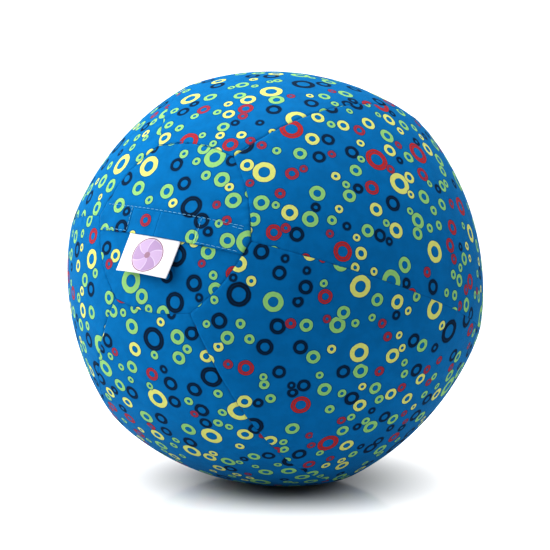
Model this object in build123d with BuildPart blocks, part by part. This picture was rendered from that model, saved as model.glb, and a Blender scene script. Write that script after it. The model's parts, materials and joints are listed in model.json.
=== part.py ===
"""Play ball: a sewn cotton cover of six gores and two hexagonal caps around an inflated balloon.

The front cap is two hemmed halves that overlap in a slit, which lets the balloon in and out. Its middle
stretch is a free flap, and a satin tab hangs from the flap's edge.
"""

import os
from math import asin, atan, cos, degrees, radians, sin, sqrt, tan

from build123d import *

os.makedirs("parts", exist_ok=True)

# Whole ball
GORES = 6
GORE_R = 148.5  # middle line of a gore to the ball's centre
CROSS_R = 193.0  # radius across a gore, flatter than the ball, so each seam is a low ridge
CAP_R = 193.0  # radius of the dished caps
CAP_ANGLE = 25.0  # corner of a cap's hexagon, seen from the ball's centre
POLE_TILT = 21.0  # how far the front cap looks up
SLIT_TILT = -4.7  # how far the slit runs downhill to its right-hand end
SAG = 0.5  # how far the ball's own weight flattens it on the floor
CONTACT_R = 12.0  # radius of the flattened patch
LOWEST_GORE = 5

# Cloth, thread and latex
CLOTH = 0.5
HEM = 0.6  # the doubled cloth of a hem
HEM_LIFT = 0.3  # the free flap lies this far off the cloth under it
THREAD = 0.5
SEAM_THREAD_R = 0.35
SEAM_WIDTH = 1.6  # a long seam's overlocked stitches make a narrow flat band
SEAM_THICKNESS = 0.5
SEAM_GAP = 0.15  # the cloth falls away from the ridge on both sides of a band
LATEX = 0.3

# Opening, measured from the front cap's middle along and across the slit
SLIT_Y = -10.0
HINGE_Y = 7.2
HEM_MARGIN = 2.4  # the doubled hem goes on above the flap's upper edge
LOWER_EDGE_Y = 5.0  # the lower half's folded edge, hidden behind the upper half
FLAP_LEFT = -30.0
FLAP_RIGHT = 25.0
SIDE_GAP = 0.4
STITCH = 2.8
STITCH_PITCH = 3.8
ROW_INSET = 1.2  # a row starts this far inside the hem, and ends this far short of the cap's side
LOWER_ROW_INSET = 2.0
BAR_GAP = 1.5  # an upright row beside each end of the flap
BOX_ROW_GAP = 1.2  # the left box's lower row starts this far past its upright row
RIGHT_ROW_GAP = 2.1
END_BAR_INSET = 3.6  # the right box's outer upright row, measured from the end of its hem row

# Satin tab
LABEL_LEFT = -27.1
LABEL_RIGHT = 15.9
LABEL_HEIGHT = 27.0
LABEL_THICKNESS = 0.4
LABEL_TILT = 8.0  # how far it stands off the cap

# Balloon inside
BALLOON_GAP = 1.6  # clearance inside the gores
BALLOON_CAP_GAP = 1.8  # clearance inside the caps and their ring seams
DIMPLE_R = 34.0  # the balloon is drawn in around its knot
DIMPLE_DEPTH = 21.6
NECK_LENGTH = 15.0
NECK_R = 3.2

GORE_ANGLE = 360 / GORES
REACH = CROSS_R * GORE_R / 150  # beyond the ball's surface everywhere
CROSS_OFFSET = CROSS_R - GORE_R
CAP_EDGE_ANGLE = degrees(atan(tan(radians(CAP_ANGLE)) * cos(radians(GORE_ANGLE / 2))))
CAP_EDGE_Y = GORE_R * cos(radians(CAP_EDGE_ANGLE))
CAP_DROP = sqrt(CAP_EDGE_Y**2 - GORE_R**2 + CAP_R**2) - CAP_EDGE_Y
HEM_TOP_Y = HINGE_Y + HEM_MARGIN
FACE = HEM_LIFT + HEM  # the flap's outer face above the cap's
BALLOON_R = GORE_R - CLOTH - BALLOON_GAP
BALLOON_H = CAP_R - CAP_DROP - CLOTH - BALLOON_CAP_GAP
DIMPLE_Y = BALLOON_H - DIMPLE_DEPTH

# The ball's own frame: Z out of the front cap's middle, X along the slit to its right-hand end
pole = Vector(0, -1, 0).rotate(Axis.X, -POLE_TILT)
along = Vector(1, 0, 0).rotate(Axis((0, 0, 0), pole), SLIT_TILT)
sideways = abs(along.Z)
CENTRE_Z = CROSS_R - CROSS_OFFSET * sqrt(1 - sideways**2) - SAG
CONTACT_X = CROSS_OFFSET * sideways  # the lowest gore's own low point lies to one side
centre = Vector(0, 0, CENTRE_Z)
front = Plane(origin=centre, x_dir=along, z_dir=pole)
rear = Plane(origin=centre, x_dir=along, z_dir=-pole)


def spoke(azimuth):
    """The direction from the pole axis that many degrees round from the slit's right-hand end."""
    return along.rotate(Axis((0, 0, 0), pole), azimuth)


def meridian(azimuth):
    """The plane through the pole axis, with X along the spoke and Y along the pole."""
    outward = spoke(azimuth)
    return Plane(origin=centre, x_dir=outward, z_dir=outward.cross(pole))


def seam_radius(polar, depth):
    """The distance of a long seam from the centre, at a depth under the cloth's outer face."""
    flat = sqrt(1 - (sin(radians(polar)) * sin(radians(GORE_ANGLE / 2))) ** 2)
    drop = CROSS_OFFSET * flat
    return sqrt(drop**2 + (CROSS_R - depth) ** 2 - CROSS_OFFSET**2) - drop


def cap_height(radius, x, y):
    """The height of a cap's sheet above the ball's centre, over the point x, y."""
    return sqrt(radius**2 - x**2 - y**2) - CAP_DROP


def hem_reach(y):
    """How far a row of stitches at height y may go to each side of the cap's middle."""
    x = GORE_R * sin(radians(CAP_ANGLE))
    for _ in range(20):
        height = cap_height(CAP_R, x, y)
        x = height * tan(radians(CAP_ANGLE)) - abs(y) / sqrt(3)
    return x - ROW_INSET


def cap_sheet(frame, low, high):
    """A dished hexagonal sheet between two heights above a cap's outer face."""
    with BuildPart() as sheet:
        with Locations(frame.location * Location((0, 0, -CAP_DROP))):
            Sphere(CAP_R + high)
            Sphere(CAP_R + low, mode=Mode.SUBTRACT)
        for height in (REACH / 2, REACH):
            with BuildSketch(frame.offset(height)):
                RegularPolygon(height * tan(radians(CAP_ANGLE)), GORES)
        loft(mode=Mode.INTERSECT)
    return sheet.part


def cap_block(left, right, bottom, top):
    """A block over a rectangle of the front cap, to trim its sheets with."""
    with BuildPart() as block:
        with Locations(front.location * Location((left, bottom, REACH / 2))):
            Box(right - left, top - bottom, REACH / 2, align=Align.MIN)
    return block.part


def stitches(height, rows):
    """Stitches on a cap's sheet: one solid each, in straight rows of (x, y, turn, count)."""
    sheet = cap_sheet(front, height, height + THREAD / 2)
    with BuildPart() as row:
        for x, y, turn, count in rows:
            with Locations(front.location * Location((x, y, REACH * 0.75), (0, 0, turn))):
                with GridLocations(STITCH_PITCH, 1, count, 1):
                    Box(STITCH, THREAD, REACH / 2)
        add(sheet, mode=Mode.INTERSECT)
    return row.part


def stitch_count(length):
    """The number of stitches that fit in a row of that length."""
    return int((length + STITCH_PITCH - STITCH) / STITCH_PITCH)


def row_length(count):
    """The length of a row from its first stitch's start to its last one's end."""
    return (count - 1) * STITCH_PITCH + STITCH


def save(part, label):
    part.label = label
    export_step(part, f"parts/{label}.step")


# Gores: strips of cloth from cap to cap, each dished across as well as along
SPREAD = degrees(asin(seam_radius(90, 0) * sin(radians(GORE_ANGLE / 2)) / CROSS_R)) + 3
for number in range(1, GORES + 1):
    azimuth = (number - 0.5) * GORE_ANGLE
    outward = spoke(azimuth)
    side = pole.cross(outward)
    front_edge = outward.rotate(Axis((0, 0, 0), side), CAP_EDGE_ANGLE - 90)
    with BuildPart() as gore:
        with BuildSketch(Plane(origin=centre, x_dir=side, z_dir=side.cross(front_edge))):
            with BuildLine():
                outer = CenterArc((0, -CROSS_OFFSET), CROSS_R, 90 - SPREAD, 2 * SPREAD)
                inner = CenterArc((0, -CROSS_OFFSET), CROSS_R - CLOTH, 90 - SPREAD, 2 * SPREAD)
                Line(outer @ 0, inner @ 0)
                Line(outer @ 1, inner @ 1)
            make_face()
        revolve(axis=Axis(centre, side), revolution_arc=180 - 2 * CAP_EDGE_ANGLE)
        half_width = REACH * tan(radians(GORE_ANGLE / 2))
        with BuildSketch(Plane(origin=centre, x_dir=outward, z_dir=pole)):
            Polygon((0, 0), (REACH, -half_width), (REACH, half_width), align=None)
        extrude(amount=REACH, both=True, mode=Mode.INTERSECT)
        if number == LOWEST_GORE:
            with Locations((CONTACT_X, 0, 0)):
                Cylinder(CONTACT_R, CLOTH, align=(Align.CENTER, Align.CENTER, Align.MIN))
                Box(60, 60, 5, align=(Align.CENTER, Align.CENTER, Align.MAX), mode=Mode.SUBTRACT)
    save(gore.part, f"gore_{number}")

# Long seams: the overlocked stitches between two gores, just inside the cloth
BAND_DEPTH = CLOTH + SEAM_GAP + SEAM_THICKNESS / 2
for number in range(1, GORES + 1):
    plane = meridian((number - 1) * GORE_ANGLE)
    with BuildPart() as seam:
        with BuildLine(plane) as run:
            first = CAP_ANGLE + 1.5
            points = []
            for step in range(13):
                polar = first + (180 - 2 * first) * step / 12
                reach = seam_radius(polar, BAND_DEPTH)
                points.append((reach * sin(radians(polar)), reach * cos(radians(polar))))
            Spline(*points)
        with BuildSketch(Plane(origin=run.line @ 0, x_dir=plane.z_dir, z_dir=run.line % 0)):
            Rectangle(SEAM_WIDTH, SEAM_THICKNESS)
        sweep()
    save(seam.part, f"long_seam_{number}")

# Ring seams: the stitching around each cap
THREAD_DEPTH = CLOTH + 0.05 + SEAM_THREAD_R
for label, frame in (("front_ring_seam", front), ("rear_ring_seam", rear)):
    radius = CAP_R - THREAD_DEPTH
    spots = []
    for step in range(2 * GORES):
        polar = radians(CAP_EDGE_ANGLE if step % 2 else CAP_ANGLE)
        reach = sqrt(radius**2 - (CAP_DROP * sin(polar)) ** 2) - CAP_DROP * cos(polar)
        turn = radians(step * GORE_ANGLE / 2)
        flat = reach * sin(polar)
        spots.append((flat * cos(turn), flat * sin(turn), reach * cos(polar)))
    spots.append(spots[0])
    with BuildPart() as ring:
        for step in range(0, 2 * GORES, 2):
            with BuildLine(frame) as run:
                ThreePointArc(*spots[step : step + 3])
            with BuildSketch(Plane(origin=run.line @ 0, z_dir=run.line % 0)):
                Circle(SEAM_THREAD_R)
            sweep(path=run.line)
            with Locations(run.line @ 0):
                Sphere(1.2 * SEAM_THREAD_R)
    save(ring.part, label)

# Caps: the rear one is whole, the front one is two halves that overlap
save(cap_sheet(rear, -CLOTH, 0), "rear_cap")

cloth_sheet = cap_sheet(front, -CLOTH, 0)
hem_sheet = cap_sheet(front, 0, HEM_LIFT + HEM)
flap_sheet = cap_sheet(front, HEM_LIFT, HEM_LIFT + HEM)

with BuildPart() as front_cap_lower:
    add(cloth_sheet)
    add(cap_block(-REACH, REACH, LOWER_EDGE_Y, REACH), mode=Mode.SUBTRACT)
save(front_cap_lower.part, "front_cap_lower")

with BuildPart() as opening_flap:
    add(flap_sheet)
    add(cap_block(FLAP_LEFT, FLAP_RIGHT, SLIT_Y, HINGE_Y), mode=Mode.INTERSECT)
save(opening_flap.part, "opening_flap")

window = cap_block(FLAP_LEFT - SIDE_GAP, FLAP_RIGHT + SIDE_GAP, SLIT_Y - 1, HINGE_Y + SIDE_GAP)
with BuildPart() as hem_band:
    add(hem_sheet)
    add(cap_block(-REACH, REACH, SLIT_Y, HEM_TOP_Y), mode=Mode.INTERSECT)
    add(window, mode=Mode.SUBTRACT)
with BuildPart() as front_cap_upper:
    add(cloth_sheet)
    add(cap_block(-REACH, REACH, -REACH, LOWER_EDGE_Y + SIDE_GAP), mode=Mode.SUBTRACT)
    add(hem_band.part)
save(front_cap_upper.part, "front_cap_upper")

# Stitching on the front cap: the hem's long row, the row hidden behind the flap, and a box on each side
hem_row_y = HINGE_Y + ROW_INSET
box_row_y = SLIT_Y + ROW_INSET + 0.2
mid_y = (hem_row_y + box_row_y) / 2
upright = stitch_count(hem_row_y - box_row_y - STITCH)
save(stitches(FACE, [(0, hem_row_y, 0, stitch_count(2 * hem_reach(hem_row_y)))]), "upper_hem_stitching")

flap_middle = (FLAP_LEFT + FLAP_RIGHT) / 2
lower_count = stitch_count(FLAP_RIGHT - FLAP_LEFT - 2 * LOWER_ROW_INSET)
save(stitches(0, [(flap_middle, SLIT_Y + LOWER_ROW_INSET, 0, lower_count)]), "lower_hem_stitching")

left_bar_x = FLAP_LEFT - BAR_GAP
left_start = left_bar_x - BOX_ROW_GAP
left_count = stitch_count(left_start + hem_reach(box_row_y))
left_row_x = left_start - row_length(left_count) / 2
left_rows = [(left_row_x, box_row_y, 0, left_count), (left_bar_x, mid_y, 90, upright)]
save(stitches(FACE, left_rows), "box_stitching_left")

right_bar_x = FLAP_RIGHT + BAR_GAP
end_bar_x = hem_reach(box_row_y) - END_BAR_INSET
right_start = right_bar_x + RIGHT_ROW_GAP
right_count = stitch_count(end_bar_x - THREAD - right_start)
right_row_x = right_start + row_length(right_count) / 2
right_rows = [(right_row_x, box_row_y, 0, right_count)]
right_rows += [(right_bar_x, mid_y, 90, upright), (end_bar_x, mid_y, 90, upright)]
save(stitches(FACE, right_rows), "box_stitching_right")

# Satin tab: hangs from the flap's edge, bowed like the cap behind it
down = -front.y_dir * cos(radians(LABEL_TILT)) + pole * sin(radians(LABEL_TILT))
label_y = SLIT_Y - 0.2
label_z = cap_height(CAP_R + HEM_LIFT + LABEL_THICKNESS, 0, label_y)
root = front.from_local_coords(Vector(0, label_y, label_z))
label_start = 90 - degrees(LABEL_RIGHT / CAP_R)
label_arc = degrees((LABEL_RIGHT - LABEL_LEFT) / CAP_R)
with BuildPart() as label_tab:
    with BuildSketch(Plane(origin=root, x_dir=along, z_dir=down)):
        with BuildLine():
            outer = CenterArc((0, -CAP_R), CAP_R, label_start, label_arc)
            inner = CenterArc((0, -CAP_R), CAP_R - LABEL_THICKNESS, label_start, label_arc)
            Line(outer @ 0, inner @ 0)
            Line(outer @ 1, inner @ 1)
        make_face()
    extrude(amount=LABEL_HEIGHT)
save(label_tab.part, "label_tab")


def balloon_body(inset):
    """The balloon's closed shape, drawn in at the top around its neck."""
    across = BALLOON_R - inset
    tall = BALLOON_H - inset
    rim_y = tall * sqrt(1 - (DIMPLE_R / across) ** 2)
    with BuildPart() as body:
        with BuildSketch(meridian(0)):
            with BuildLine():
                Spline((0, DIMPLE_Y - inset), (DIMPLE_R, rim_y), tangents=((1, 0), (1, -0.24)))
                start = degrees(atan(rim_y / tall / (DIMPLE_R / across)))
                EllipticalCenterArc((0, 0), across, tall, start_angle=-90, arc_size=90 + start)
                Line((0, -tall), (0, DIMPLE_Y - inset))
            make_face()
        revolve(axis=Axis(centre, pole))
    return body.part


# Balloon: thin latex, with its neck knotted and the rolled lip above the knot
skin = balloon_body(0)
hollow = balloon_body(LATEX)
with BuildPart() as balloon:
    add(skin)
    add(hollow, mode=Mode.SUBTRACT)
    with BuildSketch(meridian(0)):
        with BuildLine():
            Spline(
                (NECK_R, DIMPLE_Y - 0.15),
                (NECK_R, DIMPLE_Y + 2),
                (2 * NECK_R, DIMPLE_Y + 5),
                (NECK_R, DIMPLE_Y + 8.5),
                (NECK_R + 1.5, DIMPLE_Y + NECK_LENGTH - 3),
                (2 * NECK_R, DIMPLE_Y + NECK_LENGTH),
            )
            Line((2 * NECK_R, DIMPLE_Y + NECK_LENGTH), (0, DIMPLE_Y + NECK_LENGTH))
            Line((0, DIMPLE_Y + NECK_LENGTH), (0, DIMPLE_Y - 0.15))
            Line((0, DIMPLE_Y - 0.15), (NECK_R, DIMPLE_Y - 0.15))
        make_face()
    revolve(axis=Axis(centre, pole))
save(balloon.part, "balloon")
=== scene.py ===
"""Looks of the play ball: printed cotton, seams, hem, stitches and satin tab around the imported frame."""
import json
import math

import bpy
import numpy as np
from mathutils import Matrix, Vector


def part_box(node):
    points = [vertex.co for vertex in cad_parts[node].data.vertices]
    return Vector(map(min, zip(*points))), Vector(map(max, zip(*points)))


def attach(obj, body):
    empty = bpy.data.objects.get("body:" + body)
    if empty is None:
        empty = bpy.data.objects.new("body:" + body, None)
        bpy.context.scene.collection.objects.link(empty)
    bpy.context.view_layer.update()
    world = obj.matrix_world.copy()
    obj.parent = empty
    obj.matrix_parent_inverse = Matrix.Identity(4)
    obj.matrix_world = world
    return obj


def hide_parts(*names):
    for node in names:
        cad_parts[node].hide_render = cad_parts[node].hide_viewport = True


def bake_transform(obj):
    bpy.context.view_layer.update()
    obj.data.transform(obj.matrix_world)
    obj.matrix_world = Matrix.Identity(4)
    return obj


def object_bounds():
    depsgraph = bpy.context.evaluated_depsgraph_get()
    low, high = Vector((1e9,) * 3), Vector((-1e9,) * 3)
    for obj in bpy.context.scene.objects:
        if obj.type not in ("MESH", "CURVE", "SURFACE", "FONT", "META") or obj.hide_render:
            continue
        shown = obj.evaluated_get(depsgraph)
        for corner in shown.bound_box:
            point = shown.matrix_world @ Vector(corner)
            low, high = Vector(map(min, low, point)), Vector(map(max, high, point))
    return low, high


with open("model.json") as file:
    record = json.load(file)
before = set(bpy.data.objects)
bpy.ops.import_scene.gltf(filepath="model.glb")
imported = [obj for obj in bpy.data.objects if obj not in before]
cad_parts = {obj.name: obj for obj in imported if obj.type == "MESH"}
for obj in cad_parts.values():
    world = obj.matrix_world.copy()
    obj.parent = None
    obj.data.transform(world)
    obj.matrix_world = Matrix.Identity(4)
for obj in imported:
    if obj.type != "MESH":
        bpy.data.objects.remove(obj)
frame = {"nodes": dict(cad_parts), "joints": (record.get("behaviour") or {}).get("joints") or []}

CAD_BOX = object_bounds()

# ---------------------------------------------------------------- the ball's own frame
GORES = 6
GORE_R = 0.1485
CROSS_R = 0.193
CAP_R = 0.193
CROSS_OFFSET = CROSS_R - GORE_R
CAP_ANGLE = math.radians(25.0)
EDGE_ANGLE = math.atan(math.tan(CAP_ANGLE) * math.cos(math.radians(30)))
EDGE_Y = GORE_R * math.cos(EDGE_ANGLE)
CAP_DROP = math.sqrt(EDGE_Y**2 - GORE_R**2 + CAP_R**2) - EDGE_Y
BOW = math.radians(1.5)  # a cap's sewn sides bow outward between the corners
POLE_TILT = math.radians(21.0)
CLOTH = 0.0005
FACE = 0.0009  # the hem's outer face above the cap's

joints = {j["name"]: j for j in frame["joints"]}
U = -np.array(joints["flap_lift"]["axis"], float)
U /= np.linalg.norm(U)
POLE = np.array([0.0, -math.cos(POLE_TILT), math.sin(POLE_TILT)])
W = np.cross(POLE, U)
W /= np.linalg.norm(W)
low_1, high_1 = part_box("long_seam_1")
low_4, high_4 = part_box("long_seam_4")
lowest = np.minimum(np.array(low_1), np.array(low_4))
highest = np.maximum(np.array(high_1), np.array(high_4))
CENTRE = (lowest + highest) / 2
FLOOR_Z = CAD_BOX[0][2]

SLIT_Y = -0.010
HINGE_Y = 0.0072
HEM_ROW_Y = 0.0084
BOX_ROW_Y = -0.0086
LOWER_EDGE_Y = 0.005
FLAP_LEFT = -0.030
FLAP_RIGHT = 0.025
HEM_CLOTH = 0.0006
LEFT_END = -0.0570
RIGHT_END = 0.0565
LEFT_BAR = FLAP_LEFT - 0.0015
RIGHT_BAR = FLAP_RIGHT + 0.0015
LABEL_LEFT = -0.0271
LABEL_RIGHT = 0.0159
LABEL_HEIGHT = 0.027
LABEL_TILT = math.radians(8.0)
LABEL_ROOT = 0.0015  # the part of the tab that is sewn in under the flap's edge
SATIN_CLOTH = 0.00035
STITCH_R = 0.00025
SEAM_THREAD_R = 0.00035
RING_DEPTH = 0.0013  # a ring seam's thread lies this far under a cap's outer face


def place(local):
    """Points in the ball's own frame, as points in the row frame."""
    local = np.asarray(local, float)
    return CENTRE + local[..., 0:1] * U + local[..., 1:2] * W + local[..., 2:3] * POLE


def cap_height(x, y):
    """A cap's outer face above the plane through the ball's centre."""
    return np.sqrt(CAP_R**2 - x**2 - y**2) - CAP_DROP


def edge_polar(delta):
    """The angle from the pole to a cap's sewn side, at an azimuth from the side's middle."""
    straight = np.arctan(math.tan(EDGE_ANGLE) / np.cos(delta))
    return straight + BOW * np.cos(delta * GORES / 2)


def wobble(s, seed, wave):
    """A smooth, irregular wave along a seam, about -1 to 1."""
    rng = np.random.default_rng(seed)
    total = np.zeros_like(s)
    for k in range(7):
        length = wave * rng.uniform(0.6, 2.2)
        total += np.sin(2 * math.pi * s / length + rng.uniform(0, 2 * math.pi)) * rng.uniform(0.5, 1.0)
    return total / 3.2


def seam_dip(distance, along, seed):
    """How far the cloth is pulled in beside a seam: a fine groove, with small puckers across it."""
    groove = 0.0005 * np.exp(-((distance / 0.0007) ** 2))
    soft = 0.0005 * np.exp(-distance / 0.006)
    tucks = 0.00045 * np.clip(wobble(along, seed, 0.009), -1, 1) * np.exp(-distance / 0.0055)
    return groove + soft + tucks


def dense(n, power=1.9):
    """n + 1 values from -1 to 1, closer together towards both ends."""
    t = np.linspace(-1, 1, n + 1)
    return np.sign(t) * (1 - (1 - np.abs(t)) ** power)


def grid_mesh(name, points, cloth, edge, keep=None):
    """A sheet from a grid of points, with its cloth coordinates and its distance to the nearest seam."""
    rows, cols = points.shape[:2]
    index = np.arange(rows * cols).reshape(rows, cols)
    quads = np.stack([index[:-1, :-1], index[:-1, 1:], index[1:, 1:], index[1:, :-1]], -1)
    if keep is not None:
        quads = quads[keep]
    quads = quads.reshape(-1, 4)
    used, quads = np.unique(quads, return_inverse=True)
    quads = quads.reshape(-1, 4)
    mesh = bpy.data.meshes.new(name)
    mesh.from_pydata(points.reshape(-1, 3)[used].tolist(), [], quads.tolist())
    layer = mesh.attributes.new("cloth", "FLOAT_VECTOR", "POINT")
    flat = np.zeros((len(used), 3), np.float32)
    flat[:, :2] = cloth.reshape(-1, 2)[used]
    layer.data.foreach_set("vector", flat.ravel())
    layer = mesh.attributes.new("seam", "FLOAT", "POINT")
    layer.data.foreach_set("value", edge.reshape(-1)[used].astype(np.float32))
    mesh.polygons.foreach_set("use_smooth", [True] * len(mesh.polygons))
    mesh.update()
    piece = bpy.data.objects.new(name, mesh)
    bpy.context.scene.collection.objects.link(piece)
    return piece


def apply_modifiers(piece):
    depsgraph = bpy.context.evaluated_depsgraph_get()
    mesh = bpy.data.meshes.new_from_object(piece.evaluated_get(depsgraph))
    old = piece.data
    piece.modifiers.clear()
    piece.data = mesh
    bpy.data.meshes.remove(old)


def thicken(piece, thickness):
    """Gives a sheet its thickness, behind the side its normals point to."""
    solid = piece.modifiers.new("thickness", "SOLIDIFY")
    solid.thickness = thickness
    solid.offset = -1
    solid.use_even_offset = False
    apply_modifiers(piece)


def bolt(cloth, seed):
    """Where a panel was cut from the printed cloth: turned and shifted."""
    rng = np.random.default_rng(seed)
    turn = rng.uniform(0, 2 * math.pi)
    shift = rng.uniform(1, 4, 2)
    c, s = math.cos(turn), math.sin(turn)
    x, y = cloth[..., 0], cloth[..., 1]
    return np.stack([c * x - s * y + shift[0], s * x + c * y + shift[1]], -1)


def lay_out(piece, node_names, thickness, material, body="ball"):
    thicken(piece, thickness)
    piece.data.materials.clear()
    piece.data.materials.append(material)
    if body:
        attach(piece, body)
    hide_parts(*node_names)


# ---------------------------------------------------------------- materials
class Nodes:
    """Short calls for building a node material."""

    def __init__(self, name):
        self.material = bpy.data.materials.new(name)
        self.material.use_nodes = True
        self.tree = self.material.node_tree
        self.tree.nodes.clear()
        self.out = self.tree.nodes.new("ShaderNodeOutputMaterial")
        self.shader = self.tree.nodes.new("ShaderNodeBsdfPrincipled")
        self.tree.links.new(self.shader.outputs[0], self.out.inputs[0])

    def put(self, socket, value):
        if isinstance(value, bpy.types.NodeSocket):
            self.tree.links.new(value, socket)
        else:
            socket.default_value = value

    def add(self, kind, inputs=(), **settings):
        node = self.tree.nodes.new(kind)
        for key, value in settings.items():
            setattr(node, key, value)
        for key, value in dict(inputs).items():
            self.put(node.inputs[key], value)
        return node

    def math(self, operation, a, b=0.0, c=0.0, clamp=False):
        node = self.add("ShaderNodeMath", {0: a, 1: b, 2: c}, operation=operation, use_clamp=clamp)
        return node.outputs[0]

    def vector(self, operation, a, b=(0, 0, 0), scale=None):
        node = self.add("ShaderNodeVectorMath", {0: a, 1: b}, operation=operation)
        if scale is not None:
            self.put(node.inputs["Scale"], scale)
        return node.outputs["Value" if operation in ("LENGTH", "DISTANCE", "DOT_PRODUCT") else 0]

    def mix(self, factor, a, b):
        node = self.add("ShaderNodeMix", data_type="RGBA")
        self.put(node.inputs[0], factor)
        self.put(node.inputs[6], a)
        self.put(node.inputs[7], b)
        return node.outputs[2]

    def step(self, value, start, end):
        """0 before start, 1 after end, smooth between; end may be the smaller one."""
        node = self.add("ShaderNodeMapRange", {"Value": value, "From Min": start, "From Max": end})
        node.interpolation_type = "SMOOTHSTEP"
        return node.outputs[0]

    def attribute(self, name, output):
        return self.add("ShaderNodeAttribute", attribute_name=name).outputs[output]

    def noise(self, vector, scale, detail=2.0, roughness=0.5):
        node = self.add(
            "ShaderNodeTexNoise",
            {"Vector": vector, "Scale": scale, "Detail": detail, "Roughness": roughness},
        )
        return node.outputs[0]

    def rotate(self, vector, angle):
        turned = {"Vector": vector, "Angle": angle}
        return self.add("ShaderNodeVectorRotate", turned, rotation_type="Z_AXIS").outputs[0]

    def inverse(self, value):
        return self.math("SUBTRACT", 1.0, value)

    def set(self, **values):
        for key, value in values.items():
            self.put(self.shader.inputs[key.replace("_", " ")], value)


def linear(r, g, b):
    """An sRGB colour from 0 to 255 as linear light."""
    out = []
    for v in (r, g, b):
        v /= 255
        out.append(v / 12.92 if v <= 0.04045 else ((v + 0.055) / 1.055) ** 2.4)
    return (*out, 1.0)


BLUE = (0.0010, 0.110, 0.258, 1)
DEEP_BLUE = (0.0008, 0.052, 0.135, 1)
YELLOW = (0.430, 0.440, 0.130, 1)
GREEN = (0.205, 0.370, 0.130, 1)
RED = (0.310, 0.020, 0.010, 1)
NAVY = (0.0045, 0.010, 0.021, 1)
EDGE = 0.00014  # the soft edge of a printed shape


def ring_layer(n, cloth, cell, turn, jitter, offset):
    """A scatter of spots on the cloth: one random spot in each cell."""
    layer = {"cell": cell, "turn": turn, "jitter": jitter, "offset": offset}
    layer["at"] = at_layer(n, layer, cloth)
    return layer


def ring_lookup(n, layer, at, sizes):
    """The nearest spot of a layer: its distance in metres, its radius, and its random numbers."""
    voronoi = n.add(
        "ShaderNodeTexVoronoi",
        {"Vector": at, "Scale": 1.0, "Randomness": layer["jitter"]},
        voronoi_dimensions="2D",
        feature="F1",
    )
    distance = n.math("MULTIPLY", voronoi.outputs["Distance"], layer["cell"])
    split = n.add("ShaderNodeSeparateColor", {0: voronoi.outputs["Color"]})
    low, high = sizes
    radius = n.math("MULTIPLY_ADD", split.outputs[0], high - low, low)
    return distance, radius, split.outputs[1], split.outputs[2], voronoi.outputs["Position"]


def to_cloth(n, layer, position):
    """A layer's spot position, back in cloth metres."""
    moved = n.vector("SUBTRACT", position, (layer["offset"], layer["offset"] * 0.7, 0))
    scaled = n.vector("SCALE", moved, scale=layer["cell"])
    return n.rotate(scaled, -layer["turn"])


def at_layer(n, layer, cloth):
    """A cloth position in the units of a layer's cells."""
    turned = n.rotate(cloth, layer["turn"])
    scaled = n.vector("SCALE", turned, scale=1 / layer["cell"])
    return n.vector("ADD", scaled, (layer["offset"], layer["offset"] * 0.7, 0))


# For each size of spot: its inks, where each ink's share of the random number starts, and its dark halo.
KINDS = {
    "big": ("red", "navy", "green", "yellow"),
    "mid": ("yellow", "green", "red", "navy"),
    "tiny": ("green", "yellow", "navy", "red"),
}
STARTS = {"big": (0, 0.26, 0.56, 0.80), "mid": (0, 0.15, 0.54, 0.70), "tiny": (0, 0.38, 0.58, 0.82)}
INKS = {"red": RED, "navy": NAVY, "green": GREEN, "yellow": YELLOW}


def greys(**values):
    return {kind: (value, value, value, 1) for kind, value in values.items()}


HOLES = greys(red=0.46, navy=0.52, green=0.42, yellow=0.44)  # a ring's hole, as a share of its radius
LINES = greys(red=0.55, navy=0.25, green=0.08, yellow=0.04)  # how dark the fine line inside a ring is
SHADES = {"big": 0.60, "mid": 0.78, "tiny": 0.95}


def bands(n, tint, size, values):
    """The value that belongs to a spot's ink, from the spot's random number."""
    ramp = n.add("ShaderNodeValToRGB", {0: tint})
    ramp.color_ramp.interpolation = "CONSTANT"
    elements = ramp.color_ramp.elements
    for k, (start, kind) in enumerate(zip(STARTS[size], KINDS[size])):
        element = elements[k] if k < 2 else elements.new(start)
        element.position, element.color = start, values[kind]
    return ramp.outputs[0]


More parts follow.
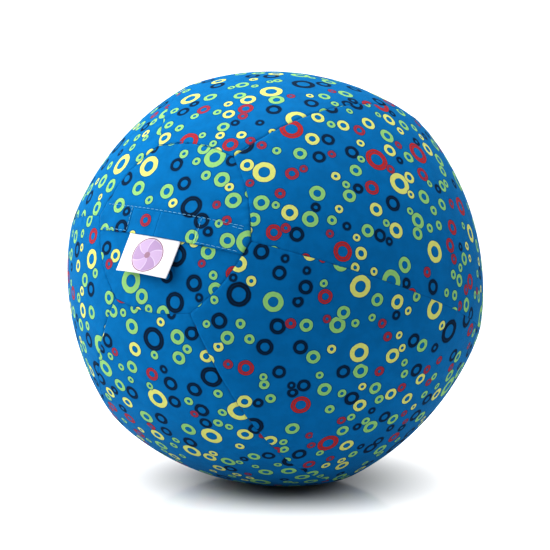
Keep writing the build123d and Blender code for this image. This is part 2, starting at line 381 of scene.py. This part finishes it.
def cotton():
    """Blue cotton printed with rings: three layers of spots, each clear of the larger ones."""
    n = Nodes("printed_cotton")
    raw = n.attribute("cloth", "Vector")
    seam = n.attribute("seam", "Fac")
    ripple = n.add("ShaderNodeTexNoise", {"Vector": raw, "Scale": 260.0, "Detail": 1.0})
    shake = n.vector("SCALE", n.vector("SUBTRACT", ripple.outputs[1], (0.5, 0.5, 0.5)), scale=0.0007)
    cloth = n.vector("ADD", raw, shake)
    big = ring_layer(n, cloth, 0.046, 0.35, 0.72, 3.3)
    mid = ring_layer(n, cloth, 0.0184, 1.1, 0.62, 7.1)
    tiny = ring_layer(n, cloth, 0.0118, 2.0, 0.66, 1.7)
    sizes = {"big": (0.0066, 0.0084), "mid": (0.0043, 0.0056), "tiny": (0.0026, 0.0036)}
    filled = {"big": 0.88, "mid": 0.90, "tiny": 0.80}
    wider_hole = {"big": 0.08, "mid": 0.05, "tiny": -0.04}
    layers = {"big": big, "mid": mid, "tiny": tiny}

    yarn = {"Vector": raw, "Scale": 1100.0, "Distortion": 0.6, "Detail": 1.0}
    weave_x = n.add("ShaderNodeTexWave", yarn, bands_direction="X")
    weave_y = n.add("ShaderNodeTexWave", yarn, bands_direction="Y")
    weave = n.math("MULTIPLY", weave_x.outputs[1], weave_y.outputs[1])
    mottle = n.noise(raw, 90.0, 3.0, 0.6)
    grain = n.noise(raw, 900.0, 2.0, 0.7)
    paler, deeper = (tuple(c * share for c in BLUE[:3]) + (1,) for share in (1.06, 0.93))
    colour = n.mix(n.step(mottle, 0.3, 0.7), deeper, paler)

    found = {}
    for name in ("big", "mid", "tiny"):
        layer = layers[name]
        distance, radius, tint, chance, position = ring_lookup(n, layer, layer["at"], sizes[name])
        present = n.math("LESS_THAN", chance, filled[name])
        middle = to_cloth(n, layer, position)
        for other in found:
            above = layers[other]
            d2, r2, _, c2, _ = ring_lookup(n, above, at_layer(n, above, middle), sizes[other])
            room = n.math("ADD", n.math("MULTIPLY", radius, 0.93), r2)
            clear = n.math("GREATER_THAN", d2, room)
            absent = n.math("GREATER_THAN", c2, filled[other])
            free = n.math("MAXIMUM", clear, absent)
            present = n.math("MULTIPLY", present, free)
        found[name] = present
        inner = n.math("MULTIPLY", radius, n.math("ADD", bands(n, tint, name, HOLES), wider_hole[name]))
        past = [n.math("ADD", radius, gap) for gap in (0.0001, 0.0009)]
        within = [n.math("SUBTRACT", inner, gap) for gap in (0.0006, 0.0001)]
        halo = n.math("MULTIPLY", n.inverse(n.step(distance, *past)), n.step(distance, *within))
        shade = n.math("MULTIPLY", halo, n.math("MULTIPLY", present, SHADES[name]))
        colour = n.mix(shade, colour, DEEP_BLUE)
        rim = [n.math(way, radius, EDGE) for way in ("SUBTRACT", "ADD")]
        hole = [n.math(way, inner, EDGE) for way in ("SUBTRACT", "ADD")]
        ring = n.math("MULTIPLY", n.inverse(n.step(distance, *rim)), n.step(distance, *hole))
        mask = n.math("MULTIPLY", ring, present)
        middle_line = n.math("MULTIPLY", n.math("ADD", radius, inner), 0.5)
        off_line = n.math("ABSOLUTE", n.math("SUBTRACT", distance, middle_line))
        fine = n.inverse(n.step(off_line, 0.0001, 0.0005))
        line = n.math("MULTIPLY", fine, bands(n, tint, name, LINES))
        ink = n.mix(line, bands(n, tint, name, INKS), DEEP_BLUE)
        worn = n.mix(n.math("MULTIPLY", grain, 0.05), ink, BLUE)
        colour = n.mix(mask, colour, worn)

    # painted shade: the cotton is drawn towards deep blue within about 0.6 mm of a seam, where the crease's
    # shade falls
    dark = n.inverse(n.step(seam, 0.00005, 0.0006))
    colour = n.mix(n.math("MULTIPLY", dark, 0.35), colour, DEEP_BLUE)
    colour = n.mix(n.math("MULTIPLY_ADD", weave, -0.16, 0.1, clamp=True), colour, DEEP_BLUE)
    bump = n.add("ShaderNodeBump", {"Strength": 0.22, "Distance": 0.00012, "Height": weave})
    crumple = n.noise(raw, 130.0, 3.0, 0.55)
    soft = {"Strength": 0.25, "Distance": 0.0006, "Height": crumple, "Normal": bump.outputs[0]}
    cloth_bump = n.add("ShaderNodeBump", soft)
    rough = n.math("MULTIPLY_ADD", grain, 0.14, 0.72)
    n.set(Base_Color=colour, Roughness=rough, Normal=cloth_bump.outputs[0])
    n.shader.inputs["Specular IOR Level"].default_value = 0.06
    n.shader.inputs["Sheen Weight"].default_value = 0.03
    n.shader.inputs["Sheen Roughness"].default_value = 0.35
    n.shader.inputs["Sheen Tint"].default_value = (0.35, 0.75, 1.0, 1.0)
    return n.material


def thread_material(name, light, dark):
    """Twisted thread in two tones."""
    n = Nodes(name)
    coords = n.add("ShaderNodeNewGeometry").outputs["Position"]
    strands = {"Vector": coords, "Scale": 900.0, "Distortion": 1.5}
    twist = n.add("ShaderNodeTexWave", strands, bands_direction="DIAGONAL")
    fuzz = n.noise(coords, 2500.0, 2.0, 0.6)
    ply = n.math("MULTIPLY_ADD", fuzz, 0.4, n.math("MULTIPLY", twist.outputs[1], 0.5))
    colour = n.mix(ply, dark, light)
    bump = n.add("ShaderNodeBump", {"Strength": 0.5, "Distance": 0.0001, "Height": twist.outputs[1]})
    n.set(Base_Color=colour, Roughness=n.math("MULTIPLY_ADD", fuzz, 0.2, 0.5), Normal=bump.outputs[0])
    n.shader.inputs["Sheen Weight"].default_value = 0.1
    return n.material


def latex():
    """Pale latex with a soft shine."""
    n = Nodes("latex")
    coords = n.add("ShaderNodeNewGeometry").outputs["Position"]
    cloud = n.noise(coords, 35.0, 3.0, 0.5)
    n.set(
        Base_Color=n.mix(cloud, linear(226, 224, 214), linear(244, 243, 236)),
        Roughness=n.math("MULTIPLY_ADD", cloud, 0.15, 0.28),
    )
    return n.material


def satin():
    """White woven satin with a round mark: a plain six-panel ball in two lilacs."""
    n = Nodes("satin")
    at = n.attribute("cloth", "Vector")
    middle = (0.0215, -0.0132, 0.0)
    arm = n.vector("SUBTRACT", at, middle)
    distance = n.vector("LENGTH", arm)
    split = n.add("ShaderNodeSeparateXYZ", {0: arm})
    angle = n.math("ARCTAN2", split.outputs[1], split.outputs[0])
    bent = n.math("MULTIPLY_ADD", distance, 55.0, angle)
    wave = n.math("SINE", n.math("MULTIPLY", bent, 3.0))
    panel = n.step(wave, -0.12, 0.12)
    gap = n.inverse(n.step(n.math("ABSOLUTE", wave), 0.06, 0.2))
    hub = n.inverse(n.step(distance, 0.0021, 0.0024))
    disc = n.inverse(n.step(distance, 0.01135, 0.01155))
    outer = n.inverse(n.step(distance, 0.01235, 0.01255))
    rim = n.math("MULTIPLY", outer, n.step(distance, 0.0115, 0.0117))
    yarn = {"Vector": at, "Scale": 1500.0, "Distortion": 0.4}
    weave = n.add("ShaderNodeTexWave", yarn, bands_direction="Y").outputs[1]
    white = n.mix(weave, (0.46, 0.46, 0.49, 1), (0.51, 0.51, 0.54, 1))
    lilac = n.mix(panel, (0.22, 0.14, 0.26, 1), (0.28, 0.20, 0.32, 1))
    lilac = n.mix(n.math("MULTIPLY", gap, 0.55), lilac, (0.38, 0.34, 0.42, 1))
    lilac = n.mix(hub, lilac, (0.17, 0.08, 0.13, 1))
    colour = n.mix(disc, white, lilac)
    colour = n.mix(rim, colour, (0.16, 0.07, 0.11, 1))
    # painted shade: the satin is drawn a little darker within about 1.2 mm of the tab's sides and folded
    # bottom edge
    sides = n.attribute("seam", "Fac")
    painted_edge_shade = n.inverse(n.step(sides, 0.0002, 0.0012))
    colour = n.mix(n.math("MULTIPLY", painted_edge_shade, 0.25), colour, (0.46, 0.45, 0.50, 1))
    bump = n.add("ShaderNodeBump", {"Strength": 0.2, "Distance": 0.0001, "Height": weave})
    n.set(Base_Color=colour, Roughness=n.math("MULTIPLY_ADD", weave, 0.1, 0.38), Normal=bump.outputs[0])
    n.shader.inputs["Specular IOR Level"].default_value = 0.45
    n.shader.inputs["Sheen Weight"].default_value = 0.1
    return n.material


COTTON = cotton()
SATIN = satin()
PALE_THREAD = thread_material("pale_thread", (0.13, 0.32, 0.45, 1), (0.04, 0.15, 0.27, 1))
SEAM_THREAD = thread_material("seam_thread", linear(8, 60, 110), linear(2, 24, 52))
LATEX = latex()

for name, node in frame["nodes"].items():
    node.data.materials.clear()
    if name == "balloon":
        node.data.materials.append(LATEX)
    elif "seam" in name:
        node.data.materials.append(SEAM_THREAD)
    elif "stitching" in name:
        node.data.materials.append(PALE_THREAD)
    else:
        node.data.materials.append(COTTON)


# ---------------------------------------------------------------- gores
HALF_GORE = math.pi / GORES


def gore_panel(number):
    """One gore: flatter across than the ball, drawn in at its four seams and flat where it rests.

    Its normals point inwards, so its thickness lies outside the surface that is drawn here.
    """
    rows, cols = 210, 56
    half = HALF_GORE
    delta = dense(cols)[None, :] * half
    start = edge_polar(delta)
    share = (dense(rows, 1.35)[:, None] + 1) / 2
    polar = start + (math.pi - 2 * start) * share
    n = np.sin(polar) * np.cos(delta)
    t = np.sin(polar) * np.sin(delta)
    p = np.cos(polar)
    m = np.sqrt(n**2 + p**2)
    reach = -CROSS_OFFSET * m + np.sqrt((CROSS_OFFSET * m) ** 2 + CROSS_R**2 - CROSS_OFFSET**2)
    along = GORE_R * polar
    side_gap = GORE_R * np.arcsin(np.clip(np.sin(polar) * np.sin(half - np.abs(delta)), 0, 1))
    side = np.where(delta > 0, number, (number - 2) % GORES + 1)
    dip = np.zeros_like(polar)
    for seam in np.unique(side):
        mine = np.broadcast_to(side == seam, polar.shape)
        dip = np.where(mine, seam_dip(side_gap, along, 100 + int(seam)), dip)
    turn = np.arctan2(n, p)
    for k, past_edge in enumerate((polar - start, math.pi - start - polar)):
        end_gap = GORE_R * np.clip(past_edge, 0, None)
        dip = np.maximum(dip, seam_dip(end_gap, GORE_R * t + 0.7 * number, 200 + 10 * k))
        side_gap = np.minimum(side_gap, end_gap)
    reach = reach - dip
    azimuth = (number - 0.5) * 2 * half + delta
    ring = reach * np.sin(polar)
    local = np.stack([ring * np.cos(azimuth), ring * np.sin(azimuth), reach * p], -1)
    world = place(local)
    world[..., 2] = np.maximum(world[..., 2], FLOOR_Z + CLOTH)
    cloth = np.stack([GORE_R * np.arcsin(t), GORE_R * turn], -1)
    piece = grid_mesh(f"cover_gore_{number}", world, bolt(cloth, 11 + number), side_gap)
    lay_out(piece, [f"gore_{number}"], CLOTH, COTTON)
    for vertex in piece.data.vertices:
        vertex.co.z = max(vertex.co.z, FLOOR_Z)


for number in range(1, GORES + 1):
    gore_panel(number)


# ---------------------------------------------------------------- caps
def cap_edge(azimuth):
    """How far a cap reaches from its middle along its face, at each azimuth from the slit direction."""
    delta = np.mod(azimuth, math.pi / 3) - math.pi / 6
    polar = edge_polar(delta)
    reach = np.sqrt(CAP_R**2 - (CAP_DROP * np.sin(polar)) ** 2) - CAP_DROP * np.cos(polar)
    return reach * np.sin(polar)


def ring_gap(local):
    """The distance to a cap's sewn side, and the way along it."""
    azimuth = np.arctan2(local[..., 1], local[..., 0])
    polar = np.arctan2(np.hypot(local[..., 0], local[..., 1]), local[..., 2])
    delta = np.mod(azimuth, math.pi / 3) - math.pi / 6
    side = np.floor(np.mod(azimuth, 2 * math.pi) / (math.pi / 3)) + 1
    gap = GORE_R * (edge_polar(delta) - polar)
    return np.clip(gap, 0, None), GORE_R * np.sin(polar) * np.sin(delta) + 0.7 * side


def half_width(y):
    """How far a cap reaches along the slit direction at each height y."""
    x = np.full_like(y, 0.05)
    for _ in range(60):
        azimuth = np.arctan2(np.abs(y), x)
        wanted = np.sqrt(np.clip(cap_edge(azimuth) ** 2 - y**2, 1e-12, None))
        x = 0.5 * (x + wanted)
    return x


TOP_Y = float(cap_edge(np.array(math.pi / 2))) - 1e-6


def cap_points(x, y, rise, seed):
    """A cap's outer face over x, y, pulled in at its ring seam."""
    flat = np.stack([x, y, cap_height(x, y)], -1)
    gap, along = ring_gap(flat)
    dip = seam_dip(gap, along, seed)
    height = np.sqrt((CAP_R + rise - dip) ** 2 - x**2 - y**2) - CAP_DROP
    return np.stack([x, y, height], -1), gap


def smooth(value, start, end):
    """0 before start, 1 after end, smooth between."""
    t = np.clip((value - start) / (end - start), 0, 1)
    return t * t * (3 - 2 * t)


def rear_panel():
    """The rear cap, one hexagon."""
    y = dense(84, 1.5)[:, None] * TOP_Y
    x = dense(90, 1.5)[None, :] * half_width(y)
    y = y + 0 * x
    local, gap = cap_points(x, y, 0.0, 210)
    local[..., 2] *= -1
    points = place(local)[:, ::-1]
    cloth = np.stack([x, y], -1)[:, ::-1]
    piece = grid_mesh("cover_rear_cap", points, bolt(cloth, 31), gap[:, ::-1])
    lay_out(piece, ["rear_cap"], CLOTH, COTTON)


def thread_piece(name, verts, faces, material, node):
    """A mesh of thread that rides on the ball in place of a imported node."""
    mesh = bpy.data.meshes.new(name)
    mesh.from_pydata(verts, [], faces)
    mesh.polygons.foreach_set("use_smooth", [True] * len(mesh.polygons))
    mesh.update()
    piece = bpy.data.objects.new(name, mesh)
    bpy.context.scene.collection.objects.link(piece)
    mesh.materials.append(material)
    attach(piece, "ball")
    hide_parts(node)


def ring_thread(name, node, side):
    """The thread of a ring seam, sunk between the gores and a cap, following the cap's bowed sides."""
    count, sides, radius = 360, 8, SEAM_THREAD_R
    azimuth = np.arange(count) * 2 * math.pi / count
    reach = cap_edge(azimuth)
    x, y = reach * np.cos(azimuth), reach * np.sin(azimuth)
    z = np.sqrt((CAP_R - RING_DEPTH) ** 2 - reach**2) - CAP_DROP
    path = np.stack([x, y, z], -1)
    along = np.roll(path, -1, 0) - np.roll(path, 1, 0)
    along /= np.linalg.norm(along, axis=-1, keepdims=True)
    out = path / np.linalg.norm(path, axis=-1, keepdims=True)
    across = np.cross(along, out)
    turn = np.arange(sides) * 2 * math.pi / sides
    tube = (
        path[:, None]
        + radius * np.cos(turn)[None, :, None] * across[:, None]
        + radius * np.sin(turn)[None, :, None] * out[:, None]
    )
    tube[..., 2] *= side
    faces = []
    for i in range(count):
        for j in range(sides):
            a, b = i * sides, (i + 1) % count * sides
            faces.append((a + j, a + (j + 1) % sides, b + (j + 1) % sides, b + j)[::side])
    thread_piece(name, place(tube).reshape(-1, 3).tolist(), faces, SEAM_THREAD, node)


def lower_panel():
    """The front cap's lower half, up to its folded edge behind the flap."""
    span = LOWER_EDGE_Y + TOP_Y
    y = -TOP_Y + (dense(70, 1.5)[:, None] + 1) / 2 * span
    x = dense(96, 1.5)[None, :] * half_width(y)
    y = y + 0 * x
    local, gap = cap_points(x, y, 0.0, 200)
    cloth = np.stack([x, y], -1)
    piece = grid_mesh("cover_front_lower", place(local), bolt(cloth, 32), gap)
    lay_out(piece, ["front_cap_lower"], CLOTH, COTTON)


def hem_rise(x, y):
    """The upper half's outer face above the cap's: it climbs onto the doubled hem, and stitches sink in."""
    rise = FACE * smooth(-y, -0.020, -0.0105)
    row = np.exp(-(((y - HEM_ROW_Y) / 0.0011) ** 2))
    rise = rise - 0.00028 * row
    left_side = smooth(-x, -FLAP_LEFT + 0.0002, -FLAP_LEFT + 0.0008)
    side = left_side + smooth(x, FLAP_RIGHT + 0.0002, FLAP_RIGHT + 0.0008)
    rise = rise - 0.00025 * side * np.exp(-(((y - BOX_ROW_Y) / 0.0010) ** 2))
    for bar in (LEFT_BAR, RIGHT_BAR):
        below = smooth(-y, -HEM_ROW_Y - 0.001, -HEM_ROW_Y)
        rise = rise - 0.00028 * np.exp(-(((x - bar) / 0.0011) ** 2)) * below
    free = np.exp(-((x - (FLAP_LEFT + FLAP_RIGHT) / 2) / 0.018) ** 2)
    rise = rise + 0.0007 * free * smooth(-y, -HINGE_Y, -SLIT_Y)
    puff = 0.00025 * wobble(x, 7, 0.016) * smooth(-y, -0.014, 0.0)
    puff = puff + 0.00012 * wobble(y, 8, 0.011)
    return rise + puff * smooth(-y, -0.018, -0.004)


def upper_panel():
    """The front cap's upper half and hem, without the free flap."""
    upper = np.linspace(TOP_Y, HINGE_Y, 58)
    band = np.linspace(HINGE_Y, SLIT_Y, 26)[1:]
    y = np.concatenate([upper, band])[:, None]
    wide = half_width(y)
    share = np.linspace(0, 1, 25)[None, :]
    left = -wide + (FLAP_LEFT + wide) * share
    middle = np.linspace(FLAP_LEFT, FLAP_RIGHT, 45)[None, :] + 0 * wide
    right = FLAP_RIGHT + (wide - FLAP_RIGHT) * share
    x = np.concatenate([left, middle[:, 1:], right[:, 1:]], axis=1)
    y = y + 0 * x
    local, gap = cap_points(x, y, hem_rise(x, y), 200)
    keep = np.ones((x.shape[0] - 1, x.shape[1] - 1), bool)
    keep[57:, 24:68] = False  # the free flap's place
    local = local[:, ::-1]
    cloth = np.stack([x, y], -1)[:, ::-1]
    piece = grid_mesh("cover_front_upper", place(local), bolt(cloth, 33), gap[:, ::-1], keep[:, ::-1])
    lay_out(piece, ["front_cap_upper"], CLOTH, COTTON)


def flap_panel(name, left, right):
    """Half of the free flap. It stands further off the cap towards the middle."""
    y = np.linspace(HINGE_Y, SLIT_Y, 26)[:, None]
    x = np.linspace(left, right, 30)[None, :] + 0 * y
    y = y + 0 * x
    local, gap = cap_points(x, y, hem_rise(x, y), 200)
    local = local[:, ::-1]
    cloth = np.stack([x, y], -1)[:, ::-1]
    piece = grid_mesh(name, place(local), bolt(cloth, 33), gap[:, ::-1])
    lay_out(piece, ["opening_flap"], HEM_CLOTH, COTTON, body=None)
    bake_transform(piece)


rear_panel()
ring_thread("front_ring_thread", "front_ring_seam", 1)
ring_thread("rear_ring_thread", "rear_ring_seam", -1)
lower_panel()
upper_panel()
MIDDLE_X = (LABEL_LEFT + LABEL_RIGHT) / 2
flap_panel("flap_left_half", FLAP_LEFT, MIDDLE_X)
flap_panel("flap_right_half", MIDDLE_X, FLAP_RIGHT)


# ---------------------------------------------------------------- stitches
def stitch_row(name, node, rows, rise):
    """Separate stitches of pale thread, each a small bowed capsule that dips into the cloth at its ends."""
    verts, faces = [], []
    rng = np.random.default_rng(len(name) + len(rows))
    rings, sides = 9, 8
    for x0, y0, x1, y1, count in rows:
        for k in range(count):
            mid = (k + 0.5) / count
            half = 0.40 / count
            base = len(verts)
            skew = rng.uniform(-0.00012, 0.00012)
            for i in range(rings):
                s = i / (rings - 1)
                f = mid + (2 * s - 1) * half
                x = x0 + (x1 - x0) * f
                y = y0 + (y1 - y0) * f
                normal = np.array([x, y, float(cap_height(x, y)) + CAP_DROP])
                normal /= np.linalg.norm(normal)
                direction = np.array([x1 - x0, y1 - y0, 0.0])
                direction /= np.linalg.norm(direction)
                across = np.cross(normal, direction)
                across /= np.linalg.norm(across)
                radius = STITCH_R * math.sin(math.pi * (0.08 + 0.84 * s)) ** 0.45
                lift = rise(x, y) + 0.00016 - 0.00030 * (2 * s - 1) ** 4
                centre = np.array([x, y, float(cap_height(x, y))])
                centre = centre + normal * lift + across * skew * (2 * s - 1)
                for j in range(sides):
                    angle = 2 * math.pi * j / sides
                    spoke = math.cos(angle) * across + 0.8 * math.sin(angle) * normal
                    verts.append(place(centre + radius * spoke))
            for i in range(rings - 1):
                for j in range(sides):
                    q = base + i * sides
                    after = (j + 1) % sides
                    faces.append((q + j, q + after, q + sides + after, q + sides + j))
            faces.append(tuple(base + j for j in range(sides))[::-1])
            faces.append(tuple(base + (rings - 1) * sides + j for j in range(sides)))
    thread_piece(name, [tuple(v) for v in verts], faces, PALE_THREAD, node)


def on_hem(x, y):
    return float(hem_rise(np.array([x]), np.array([y]))[0])


def on_cap(x, y):
    return 0.0


stitch_row("hem_stitches", "upper_hem_stitching", [(LEFT_END, HEM_ROW_Y, RIGHT_END, HEM_ROW_Y, 30)], on_hem)
LOWER_ROW = (FLAP_LEFT + 0.002, SLIT_Y + 0.002, FLAP_RIGHT - 0.002, SLIT_Y + 0.002, 13)
stitch_row("lower_hem_stitches", "lower_hem_stitching", [LOWER_ROW], on_cap)
stitch_row(
    "left_box_stitches",
    "box_stitching_left",
    [(LEFT_END, BOX_ROW_Y, LEFT_BAR, BOX_ROW_Y, 7), (LEFT_BAR, BOX_ROW_Y, LEFT_BAR, HEM_ROW_Y, 5)],
    on_hem,
)
stitch_row(
    "right_box_stitches",
    "box_stitching_right",
    [
        (RIGHT_BAR, BOX_ROW_Y, RIGHT_END, BOX_ROW_Y, 8),
        (RIGHT_BAR, HEM_ROW_Y, RIGHT_BAR, BOX_ROW_Y, 5),
        (RIGHT_END - 0.008, HEM_ROW_Y - 0.0016, RIGHT_END, HEM_ROW_Y - 0.0020, 2),
    ],
    on_hem,
)


# ---------------------------------------------------------------- satin tab
def tab():
    """The satin tab: it hangs from the flap's edge and curls a little."""
    rows, cols = 26, 36
    down = np.array([0.0, -math.cos(LABEL_TILT), math.sin(LABEL_TILT)])
    out = np.array([0.0, math.sin(LABEL_TILT), math.cos(LABEL_TILT)])
    root_y = SLIT_Y - 0.0002
    root = np.array([0.0, root_y, float(cap_height(0.0, root_y)) + 0.0007])
    s = np.linspace(-LABEL_ROOT, LABEL_HEIGHT, rows)[:, None]
    x = np.linspace(LABEL_LEFT, LABEL_RIGHT, cols)[None, :]
    share = np.clip(s / LABEL_HEIGHT, 0, 1)
    side = (x - LABEL_LEFT) / (LABEL_RIGHT - LABEL_LEFT)
    bow = -(x**2) / (2 * CAP_R)
    curl = 0.0007 * share**2 * (2 * side - 1) + 0.0005 * np.sin(math.pi * side * 1.3 + 0.4) * share
    curl = curl + 0.0008 * share**3
    width = x + 0 * s
    points = (
        root[None, None, :]
        + np.stack([width, 0 * width, 0 * width], -1)
        + s[..., None] * down
        + (bow + curl)[..., None] * out
    )
    edge = np.minimum(np.minimum(x - LABEL_LEFT, LABEL_RIGHT - x) + 0 * s, LABEL_HEIGHT - s + 0 * x)
    cloth = np.stack([x - LABEL_LEFT + 0 * s, -s + 0 * x], -1)
    piece = grid_mesh("satin_tab", place(points), cloth, np.clip(edge, 0, None))
    if piece.data.polygons[0].normal.dot(Vector(POLE)) < 0:
        piece.data.flip_normals()
    thicken(piece, SATIN_CLOTH)
    piece.data.materials.clear()
    piece.data.materials.append(SATIN)
    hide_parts("label_tab")
    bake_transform(piece)


tab()

# ---------------------------------------------------------------- floor, camera and light
AZIMUTH = math.radians(32.4)
ELEVATION = math.radians(7.7)
FAR = 1.5
LENS = 135.622
LEVEL = math.cos(ELEVATION)
toward = Vector((math.sin(AZIMUTH) * LEVEL, -math.cos(AZIMUTH) * LEVEL, math.sin(ELEVATION)))
right = Vector((math.cos(AZIMUTH), math.sin(AZIMUTH), 0))
up = toward.cross(right)
centre = Vector(CENTRE)
camera_data = bpy.data.cameras.new("camera")
camera = bpy.data.objects.new("camera", camera_data)
bpy.context.scene.collection.objects.link(camera)
camera.location = centre + toward * FAR
camera.rotation_euler = Matrix((right, up, toward)).transposed().to_euler()
camera_data.sensor_width = 36.0
camera_data.lens = LENS
camera_data.shift_x = 0.0002
camera_data.shift_y = 0.0062
camera_data.clip_end = 900
bpy.context.scene.camera = camera


def floor_material():
    """Pale floor that glows towards white, apart from a small patch under the ball, where the missing glow
    paints a contact shadow.
    """
    n = Nodes("floor")
    coords = n.add("ShaderNodeNewGeometry").outputs["Position"]
    flat = n.vector("MULTIPLY", coords, (1.0, 1.0, 0.0))
    soft = n.noise(coords, 3.0, 2.0)
    n.set(
        Base_Color=n.mix(soft, (0.52, 0.52, 0.52, 1), (0.54, 0.54, 0.54, 1)),
        Roughness=n.math("MULTIPLY_ADD", soft, 0.03, 0.09),
        Emission_Color=(1, 1, 1, 1),
        # painted contact shadow: the glow is left out within 4 cm of the floor's middle under the ball and
        # grows to full strength by 14.5 cm
        Emission_Strength=n.math("MULTIPLY", n.step(n.vector("LENGTH", flat), 0.040, 0.145), 0.54),
    )
    n.shader.inputs["Specular IOR Level"].default_value = 0.5
    return n.material


# The studio floor's radius and rise: flat, then up at its far edge.
PROFILE = [(4.0, 0.0), (30.0, 0.0), (150.0, 0.0), (220.0, 1.2), (260.0, 5.0), (285.0, 12.0), (300.0, 24.0)]
floor_mesh = bpy.data.meshes.new("floor")
corners, faces = [(0.0, 0.0, FLOOR_Z)], []
SIDES = 48
for radius, rise in PROFILE:
    for k in range(SIDES):
        turn = 2 * math.pi * k / SIDES
        corners.append((radius * math.cos(turn), radius * math.sin(turn), FLOOR_Z + rise))
for k in range(SIDES):
    after = (k + 1) % SIDES
    faces.append((0, 1 + k, 1 + after))
    for row in range(len(PROFILE) - 1):
        base = 1 + row * SIDES
        faces.append((base + k, base + SIDES + k, base + SIDES + after, base + after))
floor_mesh.from_pydata(corners, [], faces)
floor = bpy.data.objects.new("floor", floor_mesh)
bpy.context.scene.collection.objects.link(floor)
floor_mesh.materials.append(floor_material())


def softbox(name, offset, size, power):
    """A rectangular lamp, placed right, up and towards the camera from the ball, and aimed at it."""
    data = bpy.data.lights.new(name, "AREA")
    data.shape = "RECTANGLE"
    data.size, data.size_y = size
    data.energy = power
    lamp = bpy.data.objects.new(name, data)
    bpy.context.scene.collection.objects.link(lamp)
    lamp.location = centre + offset[0] * right + offset[1] * up + offset[2] * toward
    lamp.rotation_euler = (centre - lamp.location).to_track_quat("-Z", "Y").to_euler()


softbox("overhead", (0.0, 1.25, 0.05), (1.0, 1.0), 20.0)
softbox("left_side", (-1.25, 0.45, 0.15), (0.9, 0.8), 14.5)
softbox("left_front", (-0.8, 0.8, 0.85), (1.0, 1.0), 6.6)
softbox("right_side", (1.35, 0.35, 0.15), (1.0, 0.9), 4.4)

world = bpy.data.worlds.new("studio")
bpy.context.scene.world = world
world.use_nodes = True
background = world.node_tree.nodes["Background"]
background.inputs[0].default_value = (1, 1, 1, 1)
background.inputs[1].default_value = 0.36
bpy.context.scene.view_settings.view_transform = "Standard"
bpy.context.scene.view_settings.look = "High Contrast"
